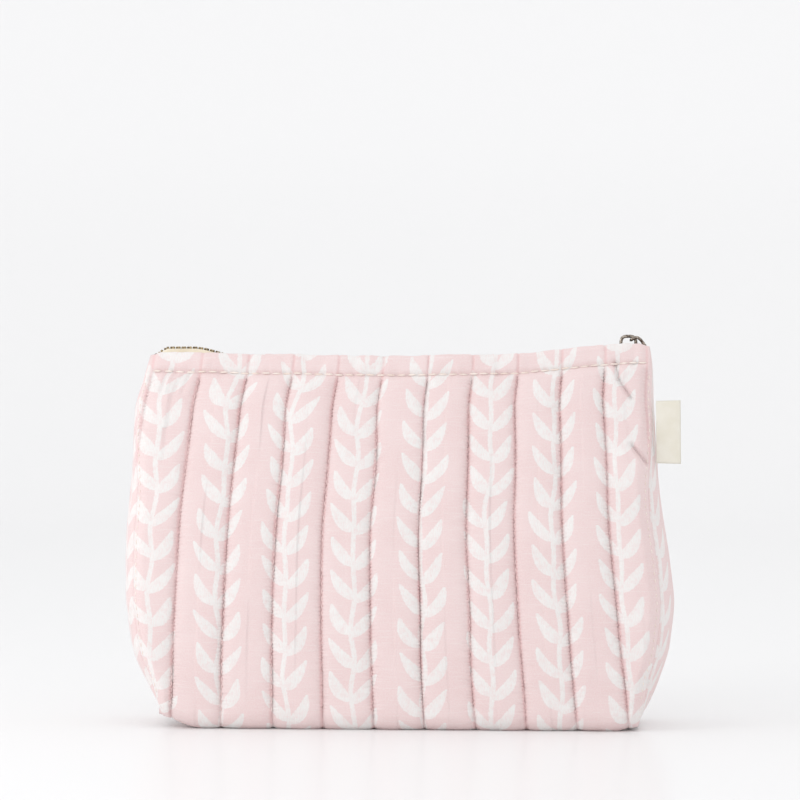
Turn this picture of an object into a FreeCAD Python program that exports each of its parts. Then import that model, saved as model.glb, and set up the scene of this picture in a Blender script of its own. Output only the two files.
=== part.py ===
"""Quilted makeup bag with a metal zip.

Frame: millimetres, +Z up, the front faces -Y, +X to the right.  The origin is the
centre of the underside of the base.

The bag is two quilted walls that lean together at the zip, two gussets between their
ends and a base.  Every wall is three layers: printed outer, wadding and lining.  The
walls follow one side curve (base, middle, lip) and the gussets one end curve (base,
widest point, top), and every layer is a copy of its curve moved inwards.
"""
import FreeCAD, Part
import math
import os

V = FreeCAD.Vector

DIMENSIONS = [
    ("base_half_length", 105.0),
    ("low_half_length", 114.0),
    ("wide_half_length", 119.5),
    ("top_half_length", 109.0),
    ("low_level", 24.0),
    ("wide_level", 56.0),
    ("lip_height", 163.0),
    ("base_half_depth", 30.0),
    ("middle_half_depth", 27.0),
    ("lip_half_depth", 8.0),
    ("outer_thickness", 0.6),
    ("wadding_thickness", 2.0),
    ("lining_thickness", 0.4),
    ("seam_gap", 0.3),
    ("floor_gap", 0.3),
    ("quilt_pitch", 22.0),
    ("thread_width", 0.6),
    ("thread_proud", 0.3),
    ("thread_start", 0.6),
    ("topstitch_drop", 7.5),
    ("binding_width", 5.0),
    ("binding_thickness", 0.8),
    ("binding_drop", 14.0),
    ("tape_thickness", 0.4),
    ("tape_drop", 11.0),
    ("tape_end_margin", 1.5),
    ("tape_edge", 1.6),
    ("chain_rise", 2.5),
    ("tooth_pitch", 2.5),
    ("tooth_length", 0.95),
    ("tooth_reach", 2.4),
    ("tooth_thickness", 1.8),
    ("end_run", 7.0),
    ("stop_length", 2.0),
    ("top_stop_length", 1.2),
    ("stop_gap", 0.2),
    ("stop_setback", 0.3),
    ("slider_length", 11.0),
    ("slider_overhang", 2.7),
    ("slider_half_width", 4.0),
    ("slider_wall", 0.8),
    ("slider_flange", 0.9),
    ("slider_corner", 0.8),
    ("slider_clearance", 0.15),
    ("tape_slot", 0.8),
    ("post_length", 2.2),
    ("post_half_width", 0.8),
    ("post_setback", 0.6),
    ("crown_setback", 1.0),
    ("crown_length", 7.6),
    ("crown_width", 1.8),
    ("crown_height", 4.0),
    ("crown_bar", 1.4),
    ("crown_fillet", 1.3),
    ("ring_wire", 1.2),
    ("ring_length", 7.2),
    ("ring_half_width", 2.7),
    ("ring_bend", 1.6),
    ("ring_slope", 8.0),
    ("ring_clearance", 0.3),
    ("label_width", 10.6),
    ("label_height", 27.0),
    ("label_thickness", 0.8),
    ("label_middle", 129.0),
    ("label_inset", 1.0),
    ("label_fold", 0.38),
    ("mouth_half_opening", 30.0),
]

doc = FreeCAD.newDocument("makeup_bag")
sheet = doc.addObject("Spreadsheet::Sheet", "Sizes")
for row, (name, value) in enumerate(DIMENSIONS, start=1):
    sheet.set("A%d" % row, name)
    sheet.set("B%d" % row, str(value))
    sheet.setAlias("B%d" % row, name)
doc.recompute()
size = {name: float(sheet.get(name)) for name, _ in DIMENSIONS}

wall = size["outer_thickness"] + size["wadding_thickness"] + size["lining_thickness"]
chain_level = size["lip_height"] + size["chain_rise"]
chain_half = size["tooth_thickness"] / 2
tape_half = size["tape_thickness"] / 2
lip_inside = size["lip_half_depth"] - wall
tape_half_length = size["top_half_length"] - wall - size["tape_end_margin"]
slider_front = size["top_half_length"] - size["slider_overhang"]
slider_back = slider_front - size["slider_length"]
post_back = slider_front - size["post_setback"] - size["post_length"]
top_stop_front = post_back - size["stop_setback"]
top_stop_back = top_stop_front - size["top_stop_length"]
bottom_stop_left = size["end_run"] - size["top_half_length"] - size["stop_length"]
bottom_stop_right = bottom_stop_left + size["stop_length"]
chain_left = bottom_stop_right + size["stop_gap"]
chain_right = top_stop_back - size["stop_gap"]
HUGE = 4 * (size["wide_half_length"] + size["lip_height"])

LAYERS = [
    ("outer", 0.0, size["outer_thickness"]),
    ("wadding", size["outer_thickness"], size["outer_thickness"] + size["wadding_thickness"]),
    ("lining", size["outer_thickness"] + size["wadding_thickness"], wall),
]
subparts = []


def curve(points):
    """The arc through the first three points, then a straight run to a fourth, if any."""
    arc = Part.Arc(*points[:3]).toShape()
    return [arc] + [Part.LineSegment(points[2], point).toShape() for point in points[3:]]


def side_points(side, inset):
    """The side curve, in the YZ plane: base, middle and lip of one wall."""
    levels = (0.0, size["lip_height"] / 2, size["lip_height"])
    depths = (size["base_half_depth"], size["middle_half_depth"], size["lip_half_depth"])
    return [V(0, side * (depth - inset), level) for depth, level in zip(depths, levels)]


def end_points(side, inset):
    """The end curve, in the XZ plane: base, low, widest and top points of one gusset."""
    levels = (0.0, size["low_level"], size["wide_level"], size["lip_height"])
    lengths = [size[name + "_half_length"] for name in ("base", "low", "wide", "top")]
    return [V(side * (length - inset), 0, level) for length, level in zip(lengths, levels)]


def between(first, second, direction):
    """The solid between two curves, run to HUGE either side of their plane."""
    edges = curve(first) + curve(second) + [
        Part.LineSegment(first[-1], second[-1]).toShape(),
        Part.LineSegment(second[0], first[0]).toShape(),
    ]
    face = Part.Face(Part.Wire(Part.__sortEdges__(edges)))
    face.translate(direction * -HUGE)
    return face.extrude(direction * (2 * HUGE))


def wall_band(side, near, far):
    """The band of one wall between two depths below its outer face."""
    return between(side_points(side, near), side_points(side, far), V(1, 0, 0))


def gusset_band(side, near, far):
    """The band of one gusset between two depths below its outer face."""
    return between(end_points(side, near), end_points(side, far), V(0, 1, 0))


def between_walls(inset):
    """All the room between the two walls, each moved inwards by inset."""
    return between(side_points(-1, inset), side_points(1, inset), V(1, 0, 0))


def between_gussets(inset):
    """All the room between the two gussets, each moved inwards by inset."""
    return between(end_points(-1, inset), end_points(1, inset), V(0, 1, 0))


def slab(low, high):
    """Everything between two levels."""
    return Part.makeBox(2 * HUGE, 2 * HUGE, high - low, V(-HUGE, -HUGE, low))


def block(x_range, y_range, z_range):
    """A box from its ranges along X, Y and Z."""
    corner = V(min(x_range), min(y_range), min(z_range))
    spans = [abs(high - low) for low, high in (x_range, y_range, z_range)]
    return Part.makeBox(*spans, corner)


def end_curve_x(level):
    """Where the outer face of the right gusset stands at a level."""
    line = Part.LineSegment(V(0, 0, level), V(HUGE, 0, level)).toShape()
    return Part.Wire(curve(end_points(1, 0))).distToShape(line)[1][0][0].x


def side_curve_y(level):
    """How far forward the outer face of the front wall stands at a level."""
    arc = Part.Arc(*side_points(1, 0))
    line = Part.LineSegment(V(0, 0, level), V(0, HUGE, level))
    return arc.intersect(line)[0].Y


def add_shape(name, shape):
    """Store one sub-part that is worked out as a shape."""
    feature = doc.addObject("Part::Feature", name)
    feature.Label = name
    feature.Shape = shape
    subparts.append(feature)
    return feature


def bind(feature, expressions):
    """Bind properties of a feature to the sheet."""
    for prop, expression in expressions.items():
        feature.setExpression(prop, expression)


def add_box(name, expressions):
    """A Part::Box whose sizes and place are bound to the sheet."""
    box = doc.addObject("Part::Box", name)
    bind(box, expressions)
    return box


def fabric_layers():
    """Walls, gussets and base, three layers each."""
    above_floor = slab(size["floor_gap"], size["lip_height"])
    bag_outline = between_gussets(0)
    room = between_walls(wall + size["seam_gap"])
    base_room = room.common(between_gussets(wall))
    for layer, near, far in LAYERS:
        for side, title in ((-1, "front"), (1, "back")):
            panel = wall_band(side, near, far).common(bag_outline).common(above_floor)
            add_shape("%s_%s" % (title, layer), panel)
        for side, title in ((-1, "left_gusset"), (1, "right_gusset")):
            add_shape("%s_%s" % (title, layer), gusset_band(side, near, far).common(room))
        add_shape("base_%s" % layer, base_room.common(slab(near, far)))


def stitching():
    """Quilting threads down each wall and one row of topstitching below each lip."""
    proud = size["thread_proud"]
    half_thread = size["thread_width"] / 2
    lines = int(size["top_half_length"] // size["quilt_pitch"])
    topstitch_level = size["lip_height"] - size["topstitch_drop"]
    quilted = slab(size["thread_start"], topstitch_level - size["thread_width"])
    row = slab(topstitch_level - half_thread, topstitch_level + half_thread)
    for side, title in ((-1, "front"), (1, "back")):
        skin = wall_band(side, -proud, 0.0)
        threads = []
        for number in range(-lines, lines + 1):
            middle = number * size["quilt_pitch"]
            strip = block((middle - half_thread, middle + half_thread), (-HUGE, HUGE), (0, HUGE))
            threads.append(skin.common(strip).common(quilted).Solids[0])
        add_shape("%s_quilt_thread" % title, Part.makeCompound(threads))
        add_shape("%s_topstitch" % title, skin.common(between_gussets(wall)).common(row))


def seam_bindings():
    """A binding over each seam allowance, inside, on the ends of the gussets."""
    inset = wall + size["seam_gap"]
    band = slab(wall, size["lip_height"] - size["binding_drop"])
    for side_y, title_y in ((-1, "front"), (1, "back")):
        strip = wall_band(side_y, inset, inset + size["binding_width"]).common(band)
        for side_x, title_x in ((-1, "left"), (1, "right")):
            cover = gusset_band(side_x, wall, wall + size["binding_thickness"])
            add_shape("%s_%s_binding" % (title_x, title_y), cover.common(strip))


def zip_tapes():
    """Each tape runs up the lining, rises past the lip and turns in to the chain."""
    reach = (-tape_half_length, tape_half_length)
    hold = slab(size["lip_height"] - size["tape_drop"], size["lip_height"])
    for side, title in ((-1, "front"), (1, "back")):
        inner = lip_inside - size["tape_thickness"]
        sewn = wall_band(side, wall, wall + size["tape_thickness"]).common(hold)
        sewn = sewn.common(block(reach, (-HUGE, HUGE), (0, HUGE)))
        riser = block(reach, (side * inner, side * lip_inside),
                      (size["lip_height"], chain_level + tape_half))
        flat = block(reach, (side * size["tape_edge"], side * lip_inside),
                     (chain_level - tape_half, chain_level + tape_half))
        add_shape("%s_zip_tape" % title, sewn.fuse([riser, flat]).removeSplitter())


def zip_teeth():
    """Two rows of teeth, half a pitch apart, reaching past the middle line."""
    count = int((chain_right - chain_left - size["tooth_length"]) // size["tooth_pitch"])
    for side, title, shift in ((-1, "front", 0.0), (1, "back", size["tooth_pitch"] / 2)):
        teeth = []
        for number in range(count):
            start = chain_left + shift + number * size["tooth_pitch"]
            head = size["tape_edge"] - size["tooth_reach"]
            teeth.append(block((start, start + size["tooth_length"]),
                               (side * head, side * size["tape_edge"]),
                               (chain_level - chain_half, chain_level + chain_half)))
        add_shape("%s_zip_teeth" % title, Part.makeCompound(teeth))


def zip_ends():
    """Stops at both ends of the chain, and the folded ends of the tapes."""
    across = size["tape_edge"] - size["stop_gap"] / 2
    level = (chain_level - chain_half, chain_level + chain_half)
    tape_level = (chain_level - tape_half, chain_level + tape_half)
    hold = slab(size["lip_height"] - size["tape_drop"], size["lip_height"])
    width = lip_inside - size["tape_thickness"] - size["seam_gap"]
    strip = block((-HUGE, HUGE), (-width, width), (0, HUGE))
    for side, title in ((-1, "front"), (1, "back")):
        add_shape("%s_top_stop" % title,
                  block((top_stop_back, top_stop_front),
                        (side * size["stop_gap"], side * size["tape_edge"]), level))
    add_shape("zip_bottom_stop", block((bottom_stop_left, bottom_stop_right),
                                       (-across, across), level))
    inner_end = size["top_half_length"] - wall - size["tape_thickness"]
    for side, title in ((-1, "left"), (1, "right")):
        fold = gusset_band(side, wall, wall + size["tape_thickness"])
        fold = fold.common(hold).common(strip)
        if side < 0:
            riser = block((-inner_end - size["tape_thickness"], -inner_end), (-across, across),
                          (size["lip_height"], chain_level + tape_half))
            tongue = block((-inner_end - size["tape_thickness"], bottom_stop_left),
                           (-across, across), tape_level)
            fold = fold.fuse([riser, tongue]).removeSplitter()
        add_shape("%s_zip_end" % title, fold)


def rounded_plate(x_range, half_width, z_range, radius):
    """A flat plate whose four upright corners are rounded."""
    plate = block(x_range, (-half_width, half_width), z_range)
    uprights = [edge for edge in plate.Edges if abs(edge.tangentAt(edge.FirstParameter).z) > 0.5]
    return plate.makeFillet(radius, uprights)


def slider():
    """Two plates joined by a post, with flanges that leave a slot for each tape."""
    inner_half = chain_half + size["slider_clearance"]
    plate_top = inner_half + size["slider_wall"]
    half_width = size["slider_half_width"]
    slot = size["tape_slot"] / 2
    along = (slider_back, slider_front)
    post = block((post_back, post_back + size["post_length"]),
                 (-size["post_half_width"], size["post_half_width"]),
                 (chain_level - inner_half, chain_level + inner_half))
    room = block(along, [edge * (half_width - size["slider_flange"]) for edge in (-1, 1)], (0, HUGE))
    solids = []
    for side in (-1, 1):
        near, far = chain_level + side * slot, chain_level + side * plate_top
        jaw = rounded_plate(along, half_width, (near, far), size["slider_corner"])
        solids.append(jaw.cut(room.common(slab(chain_level - inner_half, chain_level + inner_half))))
    add_shape("slider_body", post.fuse(solids).removeSplitter())
    return chain_level + plate_top


def crown(seat):
    """The bail on top of the slider: a block with a window through it along Y."""
    places = {"crown_seat": seat, "crown_left": slider_back + size["crown_setback"]}
    for row, (name, value) in enumerate(places.items(), start=1):
        sheet.set("D%d" % row, str(value))
        sheet.setAlias("D%d" % row, name)
    doc.recompute()
    outside = add_box("crown_block", {
        "Length": "Sizes.crown_length", "Width": "Sizes.crown_width",
        "Height": "Sizes.crown_height", "Placement.Base.x": "Sizes.crown_left",
        "Placement.Base.y": "-Sizes.crown_width / 2", "Placement.Base.z": "Sizes.crown_seat"})
    window = add_box("crown_window", {
        "Length": "Sizes.crown_length - 2 * Sizes.crown_bar", "Width": "Sizes.crown_width",
        "Height": "Sizes.crown_height - Sizes.crown_bar",
        "Placement.Base.x": "Sizes.crown_left + Sizes.crown_bar",
        "Placement.Base.y": "-Sizes.crown_width / 2", "Placement.Base.z": "Sizes.crown_seat"})
    bail = doc.addObject("Part::Cut", "crown_bail")
    bail.Base = outside
    bail.Tool = window
    doc.recompute()
    top = seat + size["crown_height"]
    edges = [number for number, edge in enumerate(bail.Shape.Edges, start=1)
             if all(abs(vertex.Z - top) < 1e-6 for vertex in edge.Vertexes)
             and abs(edge.Vertexes[0].X - edge.Vertexes[-1].X) < 1e-6]
    rounded = doc.addObject("Part::Fillet", "slider_crown")
    rounded.Base = bail
    rounded.Edges = [(number, size["crown_fillet"], size["crown_fillet"]) for number in edges]
    rounded.Label = "slider_crown"
    subparts.append(rounded)


def rounded_loop(low, high, half, bend):
    """A closed flat loop, low to high along X and half either side of it, round corners."""
    corners = [V(low, -half, 0), V(high, -half, 0), V(high, half, 0), V(low, half, 0)]
    edges = []
    for number, corner in enumerate(corners):
        before = (corners[number - 1] - corner).normalize() * bend
        after = (corners[(number + 1) % 4] - corner).normalize() * bend
        centre = corner + before + after
        crest = centre + (corner - centre).normalize() * bend
        edges.append(Part.Arc(corner + before, crest, corner + after).toShape())
        following = corners[(number + 1) % 4]
        edges.append(Part.LineSegment(corner + after, following - after).toShape())
    return Part.Wire(Part.__sortEdges__(edges))


def pull_ring(seat):
    """A wire ring through the crown, round its right leg, sloping down to the right."""
    radius = size["ring_wire"] / 2
    pivot_x = slider_back + size["crown_setback"] + size["crown_length"] - size["crown_bar"]
    pivot_x -= size["ring_wire"]
    pivot_z = seat + size["crown_height"] - size["crown_bar"] - radius - size["ring_clearance"]
    far_x = size["ring_length"] - size["ring_wire"]
    half = size["ring_half_width"] - radius
    path = rounded_loop(0.0, size["ring_length"] - size["ring_wire"], half, size["ring_bend"])
    section = Part.Wire(Part.makeCircle(radius, V(size["ring_bend"], -half, 0), V(1, 0, 0)))
    ring = path.makePipeShell([section], True, True)
    ring.rotate(V(0, 0, 0), V(0, 1, 0), size["ring_slope"])
    ring.translate(V(pivot_x, 0, pivot_z))
    add_shape("pull_ring", ring)
    return pivot_x, pivot_z


def side_label():
    """A folded label standing out of the front right seam."""
    low = size["label_middle"] - size["label_height"] / 2
    widest = max(end_curve_x(low), end_curve_x(low + size["label_height"]))
    seam_x = widest + size["seam_gap"]
    depth = side_curve_y(size["label_middle"]) - wall - size["seam_gap"] - size["label_inset"]
    half = size["label_thickness"] / 2
    leaf = block((seam_x, seam_x + size["label_width"]), (-depth - half, -depth + half),
                 (low, low + size["label_height"]))
    folds = [edge for edge in leaf.Edges
             if min(vertex.X for vertex in edge.Vertexes) > seam_x + half
             and abs(edge.Vertexes[0].Z - edge.Vertexes[-1].Z) > half]
    add_shape("side_label", leaf.makeFillet(size["label_fold"], folds))
    return seam_x, -depth


fabric_layers()
stitching()
seam_bindings()
zip_tapes()
zip_teeth()
zip_ends()
crown_seat = slider()
crown(crown_seat)
ring_pivot = pull_ring(crown_seat)
label_hinge = side_label()
doc.recompute()

for item in doc.Objects:
    if "Invalid" in item.State or "Error" in item.State:
        raise RuntimeError("%s failed: %s" % (item.Label, item.State))
for item in subparts:
    if item.Shape.isNull() or not item.Shape.isValid():
        raise RuntimeError("%s is not a valid shape" % item.Label)

os.makedirs("parts", exist_ok=True)
for item in subparts:
    item.Shape.exportStep(os.path.join("parts", item.Label + ".step"))

travel = slider_back - bottom_stop_right - size["stop_gap"]
hinge_height = wall / 2
swing = math.degrees(math.asin(size["mouth_half_opening"] / (size["lip_height"] - hinge_height)))
print("sub-parts", len(subparts))
print("zip travel %.2f, wall swing %.3f degrees" % (travel, swing))
print("ring pivot x %.3f z %.3f" % ring_pivot)
print("label hinge x %.3f y %.3f" % label_hinge)
print("slider middle %.2f, chain level %.2f" % ((slider_front + slider_back) / 2, chain_level))
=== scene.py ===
"""Quilted makeup bag: cloth, quilting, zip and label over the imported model. Metres."""
import math
import bpy
import numpy as np
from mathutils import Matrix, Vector


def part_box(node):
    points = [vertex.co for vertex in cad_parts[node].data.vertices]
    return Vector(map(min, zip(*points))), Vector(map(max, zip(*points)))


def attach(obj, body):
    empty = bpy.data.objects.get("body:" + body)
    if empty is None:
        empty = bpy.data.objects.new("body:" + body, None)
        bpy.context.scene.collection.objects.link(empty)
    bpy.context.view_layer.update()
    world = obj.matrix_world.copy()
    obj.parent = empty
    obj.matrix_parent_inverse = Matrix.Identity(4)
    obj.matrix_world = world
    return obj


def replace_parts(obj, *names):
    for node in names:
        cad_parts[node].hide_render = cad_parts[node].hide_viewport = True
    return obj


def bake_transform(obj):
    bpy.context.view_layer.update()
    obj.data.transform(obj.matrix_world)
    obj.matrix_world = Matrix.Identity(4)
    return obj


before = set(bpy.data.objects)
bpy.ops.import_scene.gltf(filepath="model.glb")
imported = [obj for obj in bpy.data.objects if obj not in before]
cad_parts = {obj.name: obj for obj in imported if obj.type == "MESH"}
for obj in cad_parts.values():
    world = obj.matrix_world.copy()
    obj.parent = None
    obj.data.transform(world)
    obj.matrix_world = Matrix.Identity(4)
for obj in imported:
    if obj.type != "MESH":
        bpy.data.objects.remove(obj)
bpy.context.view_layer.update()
MM = 0.001

# Places taken from the model.
FRONT_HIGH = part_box("front_outer")[1]
LIP_LEVEL = FRONT_HIGH.z
CHAIN_LEVEL = (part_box("zip_bottom_stop")[0].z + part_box("zip_bottom_stop")[1].z) / 2
CHAIN_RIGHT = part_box("back_zip_teeth")[1].x
TAPE_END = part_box("front_zip_tape")[1].x
LIP_DEPTH = 8.0 * MM
BASE_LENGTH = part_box("base_lining")[1].x

# The wall's side curve: half depths at the base, the middle and the lip.
SIDE_CURVE = (30.0 * MM, 27.0 * MM, LIP_DEPTH)
# The end curve: half lengths at levels, base to lip.
END_LEVELS = np.array([0, 6, 15, 33, 55, 77, 108, 130, 147, 155, 165]) * MM
END_LENGTHS = np.array([103.5, 105.5, 110, 116.6, 119.2, 118.0, 114.9, 113.2, 112.2, 111.0, 108.8]) * MM
LEAN = 2.4 * MM              # at its middle the front leans to the left by this much

PITCH_BASE, PITCH_LIP = 22.1 * MM, 19.55 * MM
SPLIT_LINE = 0.5             # the quilting line where the walls' two halves meet, in channels
LAST_LINE = 4.5
BOTTOM_RADIUS = 8.0 * MM
LIP_RADIUS = 1.7 * MM
PANEL_THICKNESS = 2.4 * MM
PUFF = 2.5 * MM
LINE_DEPTH = 0.9 * MM
STITCH_PITCH = 3.2 * MM
LINE_SHIFT = 3.4 * MM        # how far the quilting lines lean back to the right at the top
BAND = 7.0 * MM              # from the lip down to the topstitching
FLOOR_RUN = 5.0 * MM         # how far each wall turns in under the bag
EDGE_RADIUS = 6.0 * MM       # how the walls round off at the end seams
SEAM_INSET = 4.5 * MM        # how far the gussets bulge past the end seams
SEAM_GAP = 0.4 * MM
EDGE_THICKNESS = 0.35 * MM   # the quilted cloth where the wadding stops short
PAST_END = 20.0              # a channel number past both end seams, brought back to the seam

# The section's points: under the bag, round the bottom edge and up to the lip.
FLOOR_STEPS, CORNER_STEPS, RISE_STEPS = 8, 20, 159
LIP_STEP = FLOOR_STEPS + CORNER_STEPS + RISE_STEPS

WALLS = ((-1, "front", "front_wall"), (1, "back", "back_wall"))
HALVES = ((-1, "left"), (1, "right"))


# ---------------------------------------------------------------- small tools

def smooth(value, low, high):
    """0 below low, 1 above high, and 3t^2 - 2t^3 between."""
    t = np.clip((np.asarray(value, float) - low) / (high - low), 0, 1)
    return t * t * (3 - 2 * t)


def noise(a, b, seed=0):
    """Lattice noise from -1 to 1: random values at whole a and b, eased between."""
    table = np.random.default_rng(seed).uniform(-1, 1, (64, 64))
    a, b = np.broadcast_arrays(np.asarray(a, float), np.asarray(b, float))
    ia, ib = np.floor(a).astype(int), np.floor(b).astype(int)
    fa, fb = smooth(a - ia, 0, 1), smooth(b - ib, 0, 1)
    low = table[ia % 64, ib % 64] * (1 - fa) + table[(ia + 1) % 64, ib % 64] * fa
    high = table[ia % 64, (ib + 1) % 64] * (1 - fa) + table[(ia + 1) % 64, (ib + 1) % 64] * fa
    return low * (1 - fb) + high * fb


def stacked(*parts):
    """Coordinates that broadcast together, side by side on a last axis."""
    return np.stack(np.broadcast_arrays(*parts), -1)


def half_name(title, kind, half):
    """The name of a piece made in two halves, such as front_tape_left."""
    return "%s_%s_%s" % (title, kind, HALVES[half > 0][1])


def make_mesh(name, points, quads, uv=None, smooth_shading=True):
    """A mesh object from an (n, 3) array of points and an (m, 4) array of corners."""
    mesh = bpy.data.meshes.new(name)
    points, quads = np.asarray(points, np.float32), np.asarray(quads, np.int32)
    mesh.vertices.add(len(points))
    mesh.vertices.foreach_set("co", points.ravel())
    mesh.loops.add(quads.size)
    mesh.loops.foreach_set("vertex_index", quads.ravel())
    mesh.polygons.add(len(quads))
    mesh.polygons.foreach_set("loop_start", np.arange(0, quads.size, quads.shape[1], dtype=np.int32))
    mesh.polygons.foreach_set("loop_total", np.full(len(quads), quads.shape[1], np.int32))
    mesh.polygons.foreach_set("use_smooth", np.full(len(quads), smooth_shading))
    if uv is not None:
        layer = mesh.uv_layers.new(name="cloth")
        layer.data.foreach_set("uv", np.asarray(uv, np.float32)[quads.ravel()].ravel())
    mesh.update(calc_edges=True)
    mesh.validate()
    piece = bpy.data.objects.new(name, mesh)
    bpy.context.scene.collection.objects.link(piece)
    return piece


def grid_quads(rows, columns, flip=False):
    """The quads of a rows by columns grid of points."""
    index = np.arange(rows * columns).reshape(rows, columns)
    quads = np.stack([index[:-1, :-1], index[:-1, 1:], index[1:, 1:], index[1:, :-1]], -1)
    quads = quads.reshape(-1, 4)
    return quads[:, ::-1] if flip else quads


def shell(name, outer, inner, uv, flip=False):
    """A closed piece between two grids of the same size: both faces, and a rim round them."""
    rows, columns = outer.shape[:2]
    count = rows * columns
    index = np.arange(count).reshape(rows, columns)
    front = grid_quads(rows, columns)
    back = grid_quads(rows, columns, flip=True) + count
    ring = np.concatenate([index[0, :-1], index[:-1, -1], index[-1, :0:-1], index[:0:-1, 0]])
    after = np.roll(ring, -1)
    rim = np.stack([ring, ring + count, after + count, after], -1)
    quads = np.vstack([front, back, rim])
    if flip:
        quads = quads[:, ::-1]
    points = np.vstack([outer.reshape(-1, 3), inner.reshape(-1, 3)])
    coords = uv.reshape(-1, 2)
    return make_mesh(name, points, quads, np.vstack([coords, coords]))


def sweep(path, section, closed=False, up=(0, 0, 1)):
    """A section carried along a path: at each point its two axes are the path's side and up."""
    path = np.asarray(path, float)
    if closed:
        along = np.roll(path, -1, 0) - np.roll(path, 1, 0)
    else:
        along = np.gradient(path, axis=0)
    along /= np.linalg.norm(along, axis=1)[:, None]
    side = np.cross(along, np.asarray(up, float))
    side /= np.linalg.norm(side, axis=1)[:, None]
    rise = np.cross(side, along)
    return path[:, None] + side[:, None] * section[None, :, :1] + rise[:, None] * section[None, :, 1:]


def oval(width, height, count=16, power=2.0):
    """Points round an oval, or a rounded rectangle where power is above 2."""
    angle = np.linspace(0, 2 * math.pi, count, endpoint=False)
    c, s = np.cos(angle), np.sin(angle)
    return np.stack([np.sign(c) * np.abs(c) ** (2 / power) * width / 2,
                     np.sign(s) * np.abs(s) ** (2 / power) * height / 2], -1)


def tube_mesh(name, rings, closed=False):
    """Rings of points as a tube, with a fan of triangles over each end unless it closes on itself."""
    count, around = rings.shape[:2]
    index = np.arange(count * around).reshape(count, around)
    rows = np.vstack([index, index[:1]]) if closed else index
    turned = np.roll(rows, -1, 1)
    quads = np.stack([rows[:-1], turned[:-1], turned[1:], rows[1:]], -1).reshape(-1, 4)
    points = rings.reshape(-1, 3)
    if closed:
        return make_mesh(name, points, quads)
    faces = quads.tolist()
    for row, centre, turn in ((index[0], len(points), -1), (index[-1], len(points) + 1, 1)):
        faces += np.stack([np.full(around, centre), np.roll(row, turn), row], -1).tolist()
    middles = [points[index[0]].mean(0), points[index[-1]].mean(0)]
    mesh = bpy.data.meshes.new(name)
    mesh.from_pydata(np.vstack([points, middles]).tolist(), [], faces)
    mesh.polygons.foreach_set("use_smooth", np.ones(len(mesh.polygons), bool))
    piece = bpy.data.objects.new(name, mesh)
    bpy.context.scene.collection.objects.link(piece)
    return piece


# ---------------------------------------------------------------- the walls' shape

def arc_through(points, levels):
    """Depth at each level on the circle through three (depth, level) points."""
    (ax, ay), (bx, by), (cx, cy) = points
    d = 2 * (ax * (by - cy) + bx * (cy - ay) + cx * (ay - by))
    ux = ((ax**2 + ay**2) * (by - cy) + (bx**2 + by**2) * (cy - ay) + (cx**2 + cy**2) * (ay - by)) / d
    uy = ((ax**2 + ay**2) * (cx - bx) + (bx**2 + by**2) * (ax - cx) + (cx**2 + cy**2) * (bx - ax)) / d
    radius = math.hypot(ax - ux, ay - uy)
    return ux + np.sqrt(radius**2 - (levels - uy) ** 2)


def half_depth(level):
    """Half the bag's depth at a level, from the side curve."""
    base, middle, lip = SIDE_CURVE
    points = ((base, 0.0), (middle, LIP_LEVEL / 2), (lip, LIP_LEVEL))
    return arc_through(points, np.clip(level, 0, LIP_LEVEL))


def half_length(level):
    """Half the bag's length at a level, eased between the end curve's points."""
    fine = np.linspace(0, END_LEVELS[-1], 240)
    rough = np.interp(fine, END_LEVELS, END_LENGTHS)
    kernel = np.hanning(25)
    padded = np.pad(rough, 12, mode="reflect", reflect_type="odd")
    return np.interp(level, fine, np.convolve(padded, kernel / kernel.sum(), "valid"))


def seam_length(level):
    """Half the length between the end seams, which the gussets bulge past lower down."""
    bulge = SEAM_INSET * smooth(level, 0.135, 0.095) * smooth(level, 0.0, 0.025)
    return half_length(level) - bulge


def wall_profile():
    """The wall's section from under the bag, round the bottom edge, up and over the lip.

    Returns depth (out from the middle plane), level, and their outward normal, all
    against the length measured along the section.
    """
    out = SIDE_CURVE[0]
    under = out - BOTTOM_RADIUS
    flat = stacked(np.linspace(under - FLOOR_RUN, under, FLOOR_STEPS, endpoint=False), 0.0)
    turn = np.linspace(-math.pi / 2, 0, CORNER_STEPS)
    corner = np.stack([out - BOTTOM_RADIUS + BOTTOM_RADIUS * np.cos(turn),
                       BOTTOM_RADIUS + BOTTOM_RADIUS * np.sin(turn)], -1)
    levels = np.linspace(BOTTOM_RADIUS, LIP_LEVEL - LIP_RADIUS, RISE_STEPS + 1)[1:]
    rise = np.stack([half_depth(levels), levels], -1)
    rise[:, 0] += (out - half_depth(np.array([BOTTOM_RADIUS])))[0] * (1 - smooth(levels, BOTTOM_RADIUS, 0.04))
    turn = np.linspace(0, math.pi, 16)[1:]
    lip = np.stack([rise[-1, 0] - LIP_RADIUS + LIP_RADIUS * np.cos(turn),
                    rise[-1, 1] + LIP_RADIUS * np.sin(turn)], -1)
    inside = lip[-1] + np.stack([np.linspace(0, 0.6, 6)[1:] * MM, -np.linspace(0, 6, 6)[1:] * MM], -1)
    line = np.vstack([flat, corner, rise, lip, inside])
    step = np.linalg.norm(np.diff(line, axis=0), axis=1)
    length = np.concatenate([[0], np.cumsum(step)])
    along = np.gradient(line, length, axis=0)
    along /= np.linalg.norm(along, axis=1)[:, None]
    normal = np.stack([along[:, 1], -along[:, 0]], -1)
    return length, line, normal


PROFILE_LENGTH, PROFILE_LINE, PROFILE_NORMAL = wall_profile()
LIP_START = float(PROFILE_LENGTH[LIP_STEP - 1])
WALL_START = float(PROFILE_LENGTH[FLOOR_STEPS + CORNER_STEPS - 1])


def at_level(level):
    """The length along the section at a level of the rising stretch."""
    rising = slice(FLOOR_STEPS, LIP_STEP)
    return np.interp(level, PROFILE_LINE[rising, 1], PROFILE_LENGTH[rising])


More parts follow.
